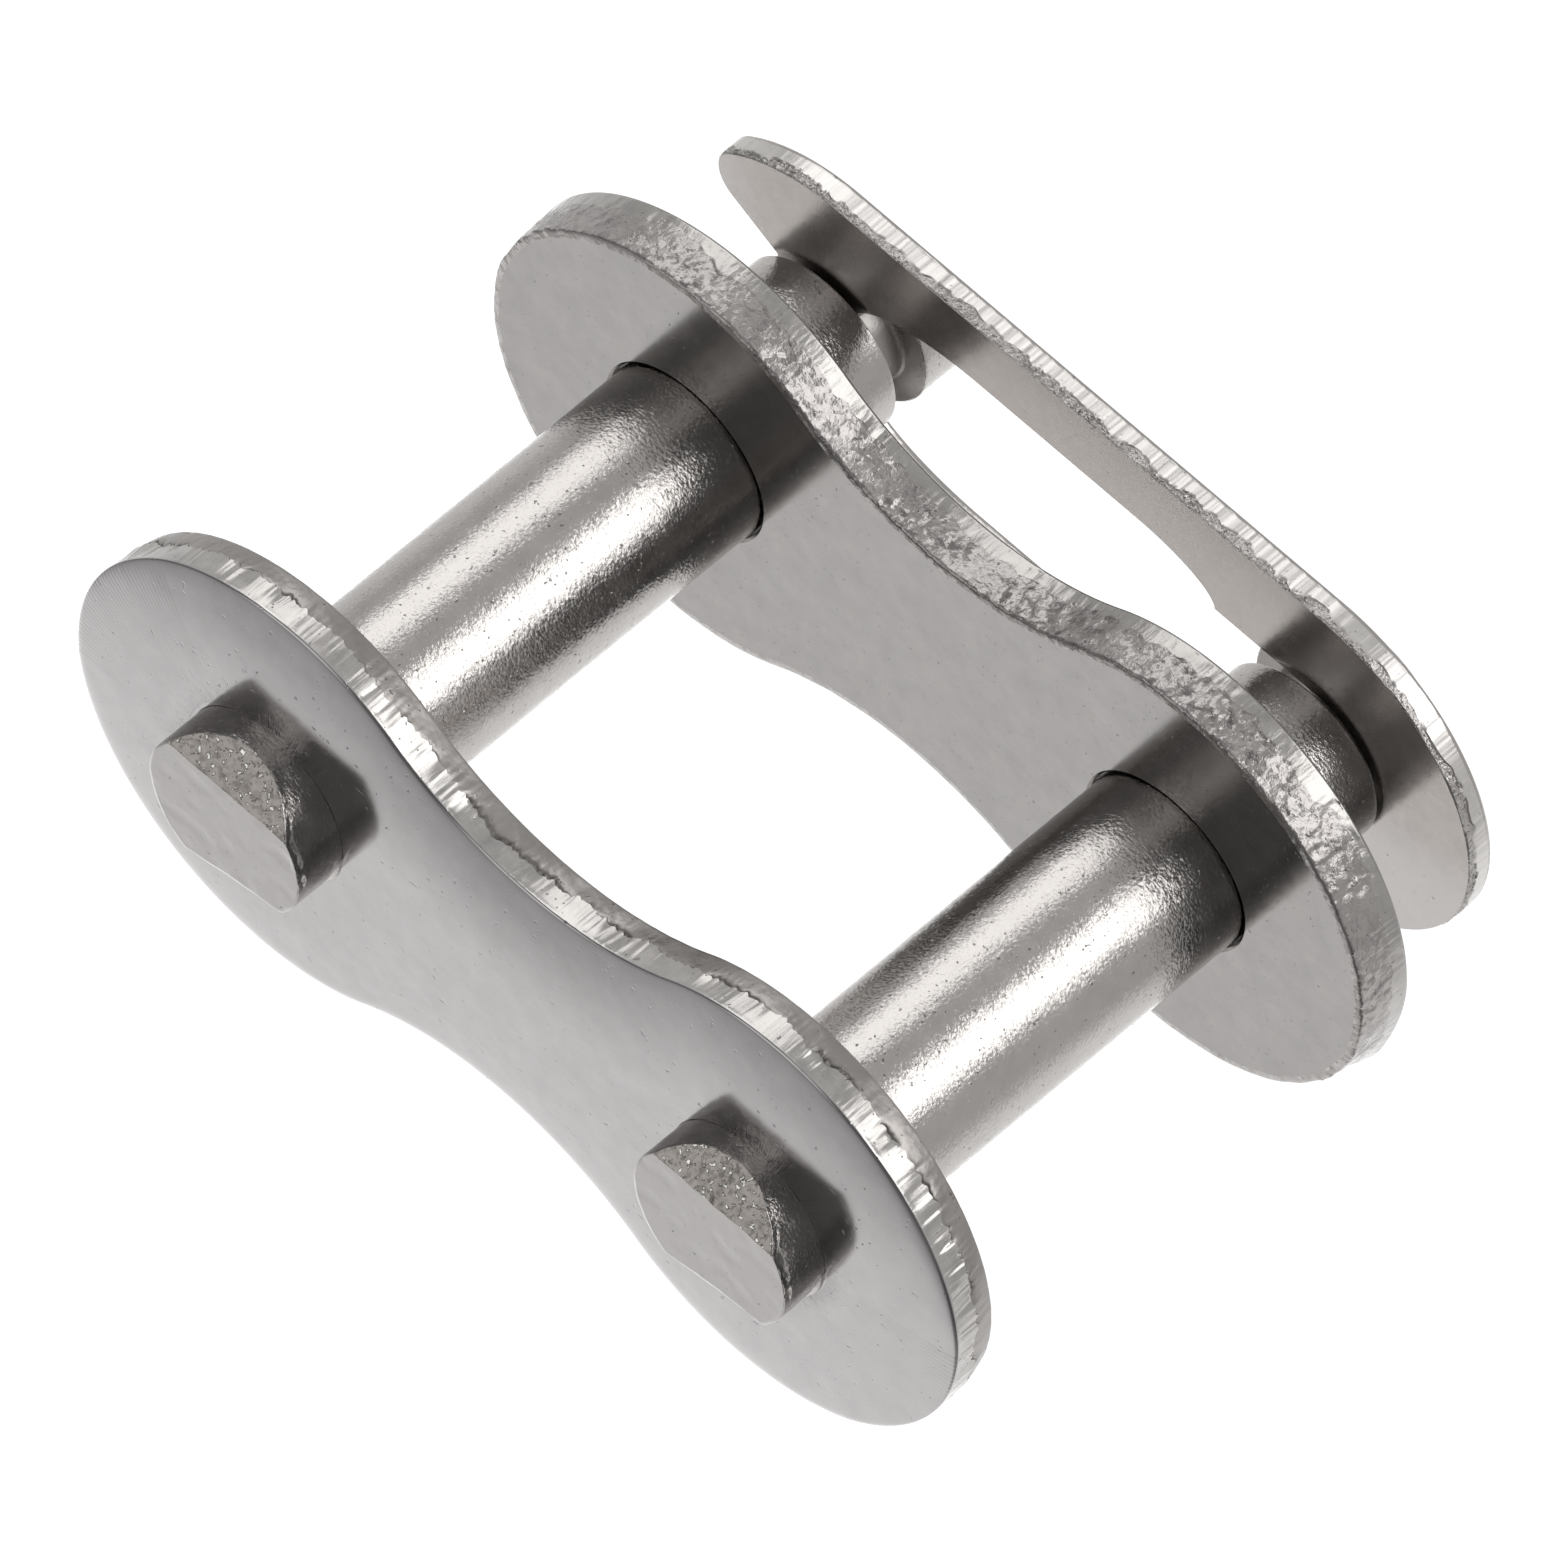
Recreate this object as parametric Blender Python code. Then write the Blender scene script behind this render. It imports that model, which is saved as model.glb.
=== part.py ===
"""Connecting link of a half-inch roller chain, closed by a spring clip.

A pin plate carries two grooved pins. A cover plate slips over them, and a flat
spring clip snaps into the grooves to keep it on.

Frame: metres, +X along the pitch from pin_1 to pin_2, +Y along the pins from the
pin plate to the clip, +Z up. The link stands on the round ends of its plates, and
the origin is the middle of its bounding box at the bottom.
"""
import math

import bmesh
import bpy
from mathutils import Matrix, Vector

# Chain sizes
PITCH = 0.0127
PIN_DIAMETER = 0.00397

# Plate blanks: two round ends joined by a waist
PLATE_HEIGHT = 0.01034
WAIST_ARC_RADIUS = 0.0068
PIN_PLATE_THICKNESS = 0.0013
COVER_PLATE_THICKNESS = 0.0013

# Blanked edges: a rounded roll at the punch side, a burnished land, then a rough break
DIE_ROLL_WIDTH = 0.0003
DIE_ROLL_DEPTH = 0.00012
BURNISHED_SHARE = 0.5
BREAK_TAPER = 0.00006

# Fits
PRESS_SEAT_GAP = 0.00002
SLIP_CLEARANCE = 0.00009
CLIP_TO_HEAD_GAP = 0.00003
CLIP_SIDE_PLAY = 0.00028

# The loose cover plate: its distance from the pin plate, and how far it is from the grooves
COVER_STANDOFF = 0.00985
COVER_TO_GROOVE = 0.00227

# Pin grooves and heads
GROOVE_DEPTH = 0.00062
HEAD_LENGTH = 0.0011
HEAD_CHAMFER = 0.0002

# Sheared pin ends: how far each stands out, and the flat and the break left by the shear
PIN_1_STUB = 0.00124
PIN_2_STUB = 0.00113
FLAT_DEPTH = 0.0005
PIN_1_FLAT_TURN = math.radians(11)
PIN_2_FLAT_TURN = math.radians(9)
BREAK_HEIGHT = 0.00075
BREAK_SETBACK = 0.00065

# Spring clip strip
CLIP_THICKNESS = 0.00062
CLIP_DIE_ROLL = 0.00012
CLIP_LEG_WIDTH = 0.00174

# Spring clip's closed end: a wide eye round pin_2 that ramps out to the legs
CLIP_EYE_CLEARANCE = 0.00042
CLIP_EYE_LENGTH = 0.0026
CLIP_EYE_RAMP = 0.0021
CLIP_EYE_STEP = 0.000775

# Spring clip's open end: a seat that grips pin_1, a notch behind it and flared tips before it
CLIP_SEAT_CLEARANCE = 0.00008
CLIP_SEAT_WRAP = math.radians(62)
CLIP_SNAP = 0.00053
CLIP_NOTCH_LENGTH = 0.0032
CLIP_TIP_TURN = math.radians(41.2)
CLIP_TIP_RADIUS = 0.00078
CLIP_FLARE = math.radians(28)

# Facets
ARC_STEP = math.radians(6)
PIN_SEGMENTS = 60
PLATE_ROLL_STEPS = 4
CLIP_ROLL_STEPS = 2
SHARP_ANGLE = math.radians(30)
SAME_POINT = 1e-7

PIN_RADIUS = PIN_DIAMETER / 2
LOBE_RADIUS = PLATE_HEIGHT / 2
AXIS_HEIGHT = LOBE_RADIUS
GROOVE_CORE_RADIUS = PIN_RADIUS - GROOVE_DEPTH

# Stations along the pins, from the pin plate's inner face
GROOVE_START = COVER_STANDOFF + COVER_PLATE_THICKNESS + COVER_TO_GROOVE
CLIP_START = GROOVE_START + CLIP_SIDE_PLAY
GROOVE_END = CLIP_START + CLIP_THICKNESS + CLIP_TO_HEAD_GAP
PIN_HEAD_END = GROOVE_END + HEAD_LENGTH
NEAR_END = -PIN_PLATE_THICKNESS - max(PIN_1_STUB, PIN_2_STUB)
INNER_FACE_Y = -(NEAR_END + PIN_HEAD_END) / 2


def clear_scene():
    """Remove every object that the file opens with."""
    for item in list(bpy.data.objects):
        bpy.data.objects.remove(item, do_unlink=True)


def steel(name, colour, roughness):
    """Bright steel with the tone and the polish of one piece."""
    material = bpy.data.materials.new(name)
    material.use_nodes = True
    shader = material.node_tree.nodes["Principled BSDF"]
    shader.inputs["Base Color"].default_value = (*colour, 1.0)
    shader.inputs["Metallic"].default_value = 1.0
    shader.inputs["Roughness"].default_value = roughness
    return material


def oval(centre_x, centre_z, half_length, half_height, start, end):
    """Points along part of an oval in the XZ plane, both ends included."""
    steps = max(2, round(abs(end - start) / ARC_STEP))
    turns = [start + (end - start) * index / steps for index in range(steps + 1)]
    return [(centre_x + half_length * math.cos(turn), centre_z + half_height * math.sin(turn))
            for turn in turns]


def arc(centre_x, centre_z, radius, start, end):
    """Points along an arc in the XZ plane, both ends included."""
    return oval(centre_x, centre_z, radius, radius, start, end)


def without_repeats(points):
    """Drop a point that falls on the one before it, also round the end."""
    kept = []
    for index, point in enumerate(points):
        if math.dist(point, points[index - 1]) > SAME_POINT:
            kept.append(point)
    return kept


def blank_outline(inset):
    """Plate outline about its middle, drawn in by an inset that keeps the arcs' centres."""
    half_pitch = PITCH / 2
    lobe = LOBE_RADIUS - inset
    waist = WAIST_ARC_RADIUS + inset
    waist_height = math.sqrt((LOBE_RADIUS + WAIST_ARC_RADIUS) ** 2 - half_pitch ** 2)
    tangent = math.atan2(waist_height, half_pitch)

    # The lobe's arc is split at its lowest and highest points, so both are on the outline
    half = arc(half_pitch, 0, lobe, tangent - math.pi, -math.pi / 2)
    half += arc(half_pitch, 0, lobe, -math.pi / 2, math.pi / 2)
    half += arc(half_pitch, 0, lobe, math.pi / 2, math.pi - tangent)
    half += arc(0, waist_height, waist, -tangent, tangent - math.pi)
    return without_repeats(half + [(-x, -z) for x, z in half])


def edge_section(thickness):
    """Blanked edge as (depth below the outer face, inset): die roll, burnished land, break."""
    section = []
    for index in range(PLATE_ROLL_STEPS + 1):
        turn = math.pi / 2 * index / PLATE_ROLL_STEPS
        section.append((DIE_ROLL_DEPTH * (1 - math.cos(turn)), DIE_ROLL_WIDTH * (1 - math.sin(turn))))
    section.append((DIE_ROLL_DEPTH + BURNISHED_SHARE * thickness, 0.0))
    section.append((thickness, BREAK_TAPER))
    return section


def loft(rings):
    """Closed mesh through rings that have as many points each, with flat caps."""
    mesh = bmesh.new()
    loops = [[mesh.verts.new(point) for point in ring] for ring in rings]
    count = len(loops[0])
    for near, far in zip(loops, loops[1:]):
        for index in range(count):
            following = (index + 1) % count
            mesh.faces.new((near[index], near[following], far[following], far[index]))
    mesh.faces.new(loops[0])
    mesh.faces.new(loops[-1])
    bmesh.ops.recalc_face_normals(mesh, faces=mesh.faces)
    return mesh


def add_object(name, mesh, location, material):
    """Turn a bmesh into a named object, smooth round its walls and flat across its caps."""
    data = bpy.data.meshes.new(name)
    mesh.to_mesh(data)
    mesh.free()
    data.shade_smooth()
    data.set_sharp_from_angle(angle=SHARP_ANGLE)
    for face in data.polygons:
        face.use_smooth = len(face.vertices) == 4
    data.materials.append(material)
    item = bpy.data.objects.new(name, data)
    item.location = location
    bpy.context.scene.collection.objects.link(item)
    return item


def circle(radius, y):
    """Ring of points round the Y axis."""
    turns = [2 * math.pi * index / PIN_SEGMENTS for index in range(PIN_SEGMENTS)]
    return [Vector((radius * math.cos(turn), y, radius * math.sin(turn))) for turn in turns]


def drill(plate, radius, reach):
    """Cut both pin holes through a plate, one at each end of the pitch."""
    for side, tag in ((-1, "1"), (1, "2")):
        place = plate.location + Vector((side * PITCH / 2, 0, 0))
        drill_body = loft([circle(radius, -reach), circle(radius, reach)])
        tool = add_object(f"{plate.name}_hole_{tag}_cutter", drill_body, place, plate.data.materials[0])
        tool.hide_render = True
        tool.display_type = "WIRE"
        cut = plate.modifiers.new(f"hole_{tag}", "BOOLEAN")
        cut.operation = "DIFFERENCE"
        cut.object = tool


def add_plate(name, thickness, inner_y, outward, hole_radius, material):
    """Blanked plate whose die-rolled face looks outward and whose sharp face looks inward."""
    rings = []
    for depth, inset in edge_section(thickness):
        y = outward * (thickness - depth)
        rings.append([Vector((x, y, z)) for x, z in blank_outline(inset)])
    plate = add_object(name, loft(rings), Vector((0, inner_y, AXIS_HEIGHT)), material)
    drill(plate, hole_radius, 2 * thickness)
    return plate


def slice_off(mesh, point, outward):
    """Cut away what lies beyond a plane and close the cut."""
    everything = mesh.verts[:] + mesh.edges[:] + mesh.faces[:]
    cut = bmesh.ops.bisect_plane(mesh, geom=everything, plane_co=point, plane_no=outward, clear_outer=True)
    rim = [item for item in cut["geom_cut"] if isinstance(item, bmesh.types.BMEdge)]
    bmesh.ops.holes_fill(mesh, edges=rim)


def add_pin(name, side, stub, flat_turn, material):
    """Turned pin: sheared off at the pin plate, grooved and chamfered at the clip."""
    end_y = -PIN_PLATE_THICKNESS - stub
    sections = [
        (end_y, PIN_RADIUS),
        (GROOVE_START, PIN_RADIUS),
        (GROOVE_START, GROOVE_CORE_RADIUS),
        (GROOVE_END, GROOVE_CORE_RADIUS),
        (GROOVE_END, PIN_RADIUS),
        (PIN_HEAD_END - HEAD_CHAMFER, PIN_RADIUS),
        (PIN_HEAD_END, PIN_RADIUS - HEAD_CHAMFER),
    ]
    mesh = loft([circle(radius, y) for y, radius in sections])

    # The shear's break leans back from a crease above the axis to the top of the rim
    lean = math.atan2(BREAK_SETBACK, BREAK_HEIGHT)
    crease = Vector((0, end_y, PIN_RADIUS - BREAK_HEIGHT))
    slice_off(mesh, crease, Vector((0, -math.cos(lean), math.sin(lean))))

    # The flat pressed by the shear runs out where the pin enters its plate
    taper = math.atan2(FLAT_DEPTH, stub)
    turn = Matrix.Rotation(-flat_turn, 3, "Y")
    low_edge = turn @ Vector((0, 0, FLAT_DEPTH - PIN_RADIUS)) + Vector((0, end_y, 0))
    slice_off(mesh, low_edge, turn @ Vector((0, -math.sin(taper), -math.cos(taper))))

    bmesh.ops.recalc_face_normals(mesh, faces=mesh.faces)
    return add_object(name, mesh, Vector((side * PITCH / 2, INNER_FACE_Y, AXIS_HEIGHT)), material)


def clip_half_outline():
    """Upper half of the clip, from the back of its closed end round to the eye on pin_2.

    Outside, both ends are round about the pins. Inside, the seat grips the groove of
    pin_1, an oval notch and a straight leg lead to the eye round the groove of pin_2.
    """
    open_x = -PITCH / 2
    closed_x = PITCH / 2
    seat_radius = GROOVE_CORE_RADIUS + CLIP_SEAT_CLEARANCE
    eye_radius = GROOVE_CORE_RADIUS + CLIP_EYE_CLEARANCE
    leg_inside = eye_radius + CLIP_EYE_STEP
    leg_outside = leg_inside + CLIP_LEG_WIDTH
    throat = GROOVE_CORE_RADIUS - CLIP_SNAP / 2

    tip_turn = math.pi / 2 + CLIP_TIP_TURN
    tip_place = leg_outside - CLIP_TIP_RADIUS
    tip_x = open_x + tip_place * math.cos(tip_turn)
    tip_z = tip_place * math.sin(tip_turn)
    seat_start = math.pi - math.asin(throat / seat_radius)
    notch_x = open_x + seat_radius * math.cos(CLIP_SEAT_WRAP)
    notch_z = seat_radius * math.sin(CLIP_SEAT_WRAP)
    notch_rise = leg_inside - notch_z
    ramp_x = closed_x - CLIP_EYE_LENGTH - CLIP_EYE_RAMP

    points = arc(closed_x, 0, leg_outside, 0, math.pi / 2)
    points += arc(open_x, 0, leg_outside, math.pi / 2, tip_turn)
    points += arc(tip_x, tip_z, CLIP_TIP_RADIUS, tip_turn, 1.5 * math.pi - CLIP_FLARE)
    points += arc(open_x, 0, seat_radius, seat_start, CLIP_SEAT_WRAP)
    points += oval(notch_x + CLIP_NOTCH_LENGTH, notch_z, CLIP_NOTCH_LENGTH, notch_rise, math.pi, math.pi / 2)
    points += oval(ramp_x, eye_radius, CLIP_EYE_RAMP, CLIP_EYE_STEP, math.pi / 2, 0)
    points += arc(closed_x, 0, eye_radius, math.pi / 2, 0)
    return points


def add_clip(name, material):
    """Clip blanked from spring strip, its die-rolled face outward, resting against the pin heads."""
    upper = clip_half_outline()
    lower = [(x, -z) for x, z in reversed(upper)]
    outline = without_repeats(upper + lower)
    inner = [Vector((x, 0, z)) for x, z in outline]
    outer = [Vector((x, CLIP_THICKNESS, z)) for x, z in outline]
    mesh = loft([inner, outer])
    outer_face = max(mesh.faces, key=lambda face: face.calc_center_median().y)
    bmesh.ops.bevel(mesh, geom=outer_face.edges[:], offset=CLIP_DIE_ROLL, segments=CLIP_ROLL_STEPS,
                    affect="EDGES", clamp_overlap=True)
    return add_object(name, mesh, Vector((0, INNER_FACE_Y + CLIP_START, AXIS_HEIGHT)), material)


def build():
    """Put the link together in the order it is assembled."""
    clear_scene()
    plate_steel = steel("pin_plate_steel", (0.46, 0.45, 0.44), 0.38)
    cover_steel = steel("cover_plate_steel", (0.44, 0.43, 0.42), 0.42)
    add_plate("pin_plate", PIN_PLATE_THICKNESS, INNER_FACE_Y, -1, PIN_RADIUS + PRESS_SEAT_GAP, plate_steel)
    add_pin("pin_1", -1, PIN_1_STUB, PIN_1_FLAT_TURN, steel("pin_1_steel", (0.5, 0.49, 0.48), 0.32))
    add_pin("pin_2", 1, PIN_2_STUB, PIN_2_FLAT_TURN, steel("pin_2_steel", (0.5, 0.49, 0.48), 0.32))
    add_plate("cover_plate", COVER_PLATE_THICKNESS, INNER_FACE_Y + COVER_STANDOFF, 1,
              PIN_RADIUS + SLIP_CLEARANCE, cover_steel)
    add_clip("spring_clip", steel("spring_clip_steel", (0.55, 0.53, 0.51), 0.36))


build()
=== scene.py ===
"""Looks of a half-inch roller chain connecting link: bright tumbled steel, as it leaves the press."""
import math

import bmesh
import bpy
import numpy as np
from mathutils import Matrix, Vector, noise


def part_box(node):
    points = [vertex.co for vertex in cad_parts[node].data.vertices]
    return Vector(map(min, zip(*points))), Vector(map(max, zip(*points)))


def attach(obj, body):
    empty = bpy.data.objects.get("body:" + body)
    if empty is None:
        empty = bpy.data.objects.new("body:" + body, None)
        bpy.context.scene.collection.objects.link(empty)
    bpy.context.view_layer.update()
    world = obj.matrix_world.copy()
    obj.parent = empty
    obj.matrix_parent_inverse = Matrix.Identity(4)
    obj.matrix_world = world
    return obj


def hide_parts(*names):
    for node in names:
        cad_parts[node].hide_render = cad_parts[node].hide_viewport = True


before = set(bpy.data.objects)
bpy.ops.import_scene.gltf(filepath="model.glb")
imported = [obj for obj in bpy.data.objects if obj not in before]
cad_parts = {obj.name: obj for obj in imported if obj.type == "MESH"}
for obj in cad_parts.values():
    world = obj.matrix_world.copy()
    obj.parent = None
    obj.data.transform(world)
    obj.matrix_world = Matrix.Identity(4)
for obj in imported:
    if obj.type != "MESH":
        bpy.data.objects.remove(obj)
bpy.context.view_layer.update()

# Pin plate
# The figure-eight plate that both pins are pressed into, blanked from cold-rolled strip steel and tumbled.
# The punch left its outer face domed and its edge burnished, then torn where the blank broke free.
MM = 0.001
WAIST_ARC = 6.8 * MM
ARC_POINTS = 160
PLATE_STEP = 0.03 * MM
SEED_SHIFT = 41.3

plate_low, plate_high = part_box("pin_plate")
plate_thickness = plate_high.y - plate_low.y
axis_z = (plate_low.z + plate_high.z) / 2
pin_boxes = [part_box("pin_1"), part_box("pin_2")]
pin_radius = (pin_boxes[0][1].x - pin_boxes[0][0].x) / 2
pin_x = [(pin_low.x + pin_high.x) / 2 for pin_low, pin_high in pin_boxes]


def arc(centre_x, centre_z, half_length, half_height, start, end):
    """Points along part of an oval in the XZ plane, its last point left out."""
    turns = np.radians(np.linspace(start, end, ARC_POINTS, endpoint=False))
    return np.stack([centre_x + half_length * np.cos(turns), centre_z + half_height * np.sin(turns)], axis=1)


def plate_outline(node):
    """Two lobes about the pins, joined by waist arcs tangent to both."""
    low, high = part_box(node)
    middle_z = (low.z + high.z) / 2
    lobe = (high.z - low.z) / 2
    half_pitch = high.x - lobe
    rise = math.sqrt((lobe + WAIST_ARC) ** 2 - half_pitch ** 2)
    tangent = math.degrees(math.atan2(rise, half_pitch))
    return np.vstack([
        arc(half_pitch, middle_z, lobe, lobe, tangent - 180, 180 - tangent),
        arc(0, middle_z + rise, WAIST_ARC, WAIST_ARC, -tangent, tangent - 180),
        arc(-half_pitch, middle_z, lobe, lobe, tangent, 360 - tangent),
        arc(0, middle_z - rise, WAIST_ARC, WAIST_ARC, 180 - tangent, tangent),
    ])


def walk(outline, spacing):
    """Evenly spaced places round a closed outline: x, z, and the outward normal's x and z."""
    closed = np.vstack([outline, outline[:1]])
    length = np.concatenate([[0], np.cumsum(np.hypot(*np.diff(closed, axis=0).T))])
    count = round(length[-1] / spacing)
    travelled = np.arange(count) * length[-1] / count
    x = np.interp(travelled, length, closed[:, 0])
    z = np.interp(travelled, length, closed[:, 1])
    along_x = np.roll(x, -1) - np.roll(x, 1)
    along_z = np.roll(z, -1) - np.roll(z, 1)
    size = np.hypot(along_x, along_z)
    return x, z, along_z / size, -along_x / size


def edge_places(places, y):
    """Points on the edge at one depth, where relief is read so that it follows the real size."""
    return np.stack([places[0], np.broadcast_to(y, len(places[0])), places[1]], axis=1)


def relief(points, size_mm, seed):
    """Noise from -1 to 1 at each point, in lumps of the given size."""
    scale = 1 / (size_mm * MM)
    shift = SEED_SHIFT * seed
    return np.array([noise.noise((x * scale + shift, y * scale, z * scale)) for x, y, z in points])


def lumpy(points, lumps, seed):
    """Relief in millimetres from lumps of (size, height), each with a seed of its own."""
    return sum(relief(points, size, seed + index) * height for index, (size, height) in enumerate(lumps))


def patchy(points, size_mm, seed, middle, swing, least=0, most=1):
    """Level that wanders from place to place and is held between the least and the most."""
    return np.clip(middle + relief(points, size_mm, seed) * swing, least, most)


def droop_towards(places, least, middle, x_share, z_share):
    """Share of the full die roll: all of it where the edge faces one way, the least of it behind."""
    return least + (1 - least) * np.clip(middle + places[2] * x_share + places[3] * z_share, 0, 1)


# Rows of (inset from the outline, depth below the crown) in millimetres, from the dome to the land.
DOME = [(3.1, 0.0), (2.85, 0.002), (2.6, 0.006), (2.3, 0.016), (2.0, 0.031), (1.7, 0.05), (1.4, 0.074),
        (1.15, 0.097), (0.9, 0.124), (0.7, 0.148), (0.5, 0.175), (0.35, 0.197), (0.22, 0.219), (0.12, 0.242),
        (0.06, 0.262), (0.025, 0.282), (0.007, 0.3), (0.0, 0.33)]
# Rows of (height above the sharp face, inset) in millimetres, which break its edge.
BEVEL = [(0.05, 0.0), (0.022, 0.03), (0.007, 0.06), (0.0, 0.12)]
BEVEL_FADE = 0.85
BULGE = 0.05 * MM
LAND_ROWS = 7
BREAK_ROWS = 15
# The land's depth as a share of the thickness: its mean, and lumps of (size in millimetres, share).
LAND_SHARE = 0.62
LAND_EDGE = [(1.6, 0.08), (0.4, 0.08)]
LAND_TEETH = [(0.17, 0.112)]
# Insets of the edge and lumps of (size, height), all in millimetres. Fades are shares of the break.
DRAG_LINES = [(0.07, 0.016), (0.18, 0.026)]
DRAG_ON_LAND = 1.2
DRAG_FADE = 0.2
LAND_INSET = 0.008
BREAK_INSET = 0.02
BREAK_STEP = 0.026
STEP_FADE = 0.06
BREAK_LEAN = 0.1
BREAK_LUMPS = [(0.32, 0.01), (0.1, 0.003)]
FACE, LAND, BREAK = 0, 1, 2


def edge_rows(outer_y, inner_y, roll, droop, land_end, land, torn):
    """Rows across a blanked edge: the rolled outer face, the land, then the torn break to the sharp face."""
    inward = math.copysign(1, inner_y - outer_y)
    even = 0 * land_end
    rows = [(outer_y + inward * depth * MM * droop, even + inset * MM, FACE) for inset, depth in roll]
    roll_end = roll[-1][1] * MM * droop
    for share in np.linspace(0.1, 1, LAND_ROWS):
        depth = roll_end + share * (land_end - roll_end)
        rows.append((outer_y + inward * depth, np.maximum(0, land(depth, share)), LAND))
    torn_end = abs(inner_y - outer_y) - BEVEL[0][0] * MM
    for share in np.linspace(0.02, 1, BREAK_ROWS):
        depth = land_end + share * (torn_end - land_end)
        rows.append((outer_y + inward * depth, np.maximum(0, torn(depth, share)), BREAK))
    for height, inset in BEVEL[1:]:
        rows.append((inner_y - inward * height * MM, rows[-1][1] * BEVEL_FADE + inset * MM, BREAK))
    return rows


plate_places = walk(plate_outline("pin_plate"), PLATE_STEP)
plate_rim = edge_places(plate_places, 0)
plate_droop = droop_towards(plate_places, least=0.4, middle=0.55, x_share=0.39, z_share=0.92)
drag_lines = lumpy(plate_rim, DRAG_LINES, seed=8)
drag_lines *= 0.5 + 2 * patchy(plate_rim, 1.3, seed=7, middle=0, swing=1)
land_edge = lumpy(plate_rim, LAND_EDGE, seed=1) + np.abs(lumpy(plate_rim, LAND_TEETH, seed=3))
break_step = BREAK_STEP * patchy(plate_rim, 0.7, seed=4, middle=0.3, swing=1.8)
lean = patchy(plate_rim, 0.9, seed=15, middle=0.01, swing=0.2, most=0.09)


def dragged(depth, share):
    """Bright land, scored straight across by the die: crowded lines in some stretches, sparse in others."""
    here = edge_places(plate_places, depth * 0.5)
    crowded = patchy(here, 0.25, seed=5, middle=0.7, swing=1.6, least=0.15, most=1.2)
    return (LAND_INSET + lean * share + drag_lines * crowded * DRAG_ON_LAND * min(1, 0.4 + share)) * MM


def torn(depth, share):
    """Dull break that starts in a ragged step and leans in towards the sharp face."""
    lumps = lumpy(edge_places(plate_places, depth), BREAK_LUMPS, seed=11)
    drag = (lean + drag_lines) * math.exp(-share / DRAG_FADE)
    step = break_step * math.exp(-share / STEP_FADE)
    return (BREAK_INSET + drag + step + BREAK_LEAN * share + lumps * min(1, share * 5)) * MM


def ring_faces(first, count):
    """Quads from the ring of points that starts at the first index to the ring after it."""
    ring = np.arange(count)
    after = np.roll(ring, -1)
    return np.stack([first + ring, first + after, first + count + after, first + count + ring], axis=1)


def start_piece(name, points, faces, slots):
    """The piece's mesh, each face with its material's index, and an open bmesh of it."""
    data = bpy.data.meshes.new(name)
    data.from_pydata(points, [], faces)
    data.polygons.foreach_set("material_index", slots)
    mesh = bmesh.new()
    mesh.from_mesh(data)
    return data, mesh


FLAT_NORMAL = 0.9999


def finish_piece(data, mesh, materials, sharp):
    """Turn the faces outward, shade the walls smooth and the flat faces flat, and link the object."""
    bmesh.ops.recalc_face_normals(mesh, faces=mesh.faces)
    mesh.to_mesh(data)
    mesh.free()
    data.shade_smooth()
    data.set_sharp_from_angle(angle=math.radians(sharp))
    normals = np.zeros(len(data.polygons) * 3)
    data.polygons.foreach_get("normal", normals)
    data.polygons.foreach_set("use_smooth", np.abs(normals[1::3]) < FLAT_NORMAL)
    for material in materials:
        data.materials.append(material)
    item = bpy.data.objects.new(data.name, data)
    bpy.context.scene.collection.objects.link(item)
    return item


HOLE_POINTS = 160
BLANK_SHARP = 40


def stamped_blank(name, places, rows, holes, materials):
    """Closed blank from rows of (y, inset, material index) across its edge, with round holes."""
    x, z, normal_x, normal_z = places
    count = len(x)
    points = [np.stack([x - normal_x * inset, np.broadcast_to(y, count), z - normal_z * inset], axis=1)
              for y, inset, _ in rows]
    faces = [ring_faces(index * count, count) for index in range(len(rows) - 1)]
    slots = np.repeat([slot for _, _, slot in rows[1:]], count).tolist()
    total = count * len(rows)
    first_y = float(np.mean(rows[0][0]))
    last_y = float(np.mean(rows[-1][0]))
    turns = np.linspace(0, 2 * np.pi, HOLE_POINTS, endpoint=False)
    for hole_x, hole_z, radius, chamfer in holes:
        step = math.copysign(chamfer, last_y - first_y)
        rings = [(first_y, radius + chamfer), (first_y + step, radius), (last_y - step, radius),
                 (last_y, radius + chamfer)]
        for y, reach in rings:
            points.append(np.stack([hole_x + reach * np.cos(turns), np.full(HOLE_POINTS, y),
                                    hole_z + reach * np.sin(turns)], axis=1))
        for index in range(len(rings) - 1):
            faces.append(ring_faces(total + index * HOLE_POINTS, HOLE_POINTS))
            slots += [FACE] * HOLE_POINTS
        total += len(rings) * HOLE_POINTS
    data, mesh = start_piece(name, np.vstack(points), np.vstack(faces).tolist(), slots)
    middle = (first_y + last_y) / 2
    for side in (-1, 1):
        rim = [edge for edge in mesh.edges if edge.is_boundary and side * (edge.verts[0].co.y - middle) > 0]
        bmesh.ops.triangle_fill(mesh, edges=rim, use_beauty=True, normal=(0, side, 0))
    return finish_piece(data, mesh, materials, BLANK_SHARP)


def linear(colour):
    """Linear RGBA of an sRGB hex colour."""
    channels = [int(colour[start:start + 2], 16) / 255 for start in (0, 2, 4)]
    return [c / 12.92 if c <= 0.04045 else ((c + 0.055) / 1.055) ** 2.4 for c in channels] + [1.0]


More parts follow.
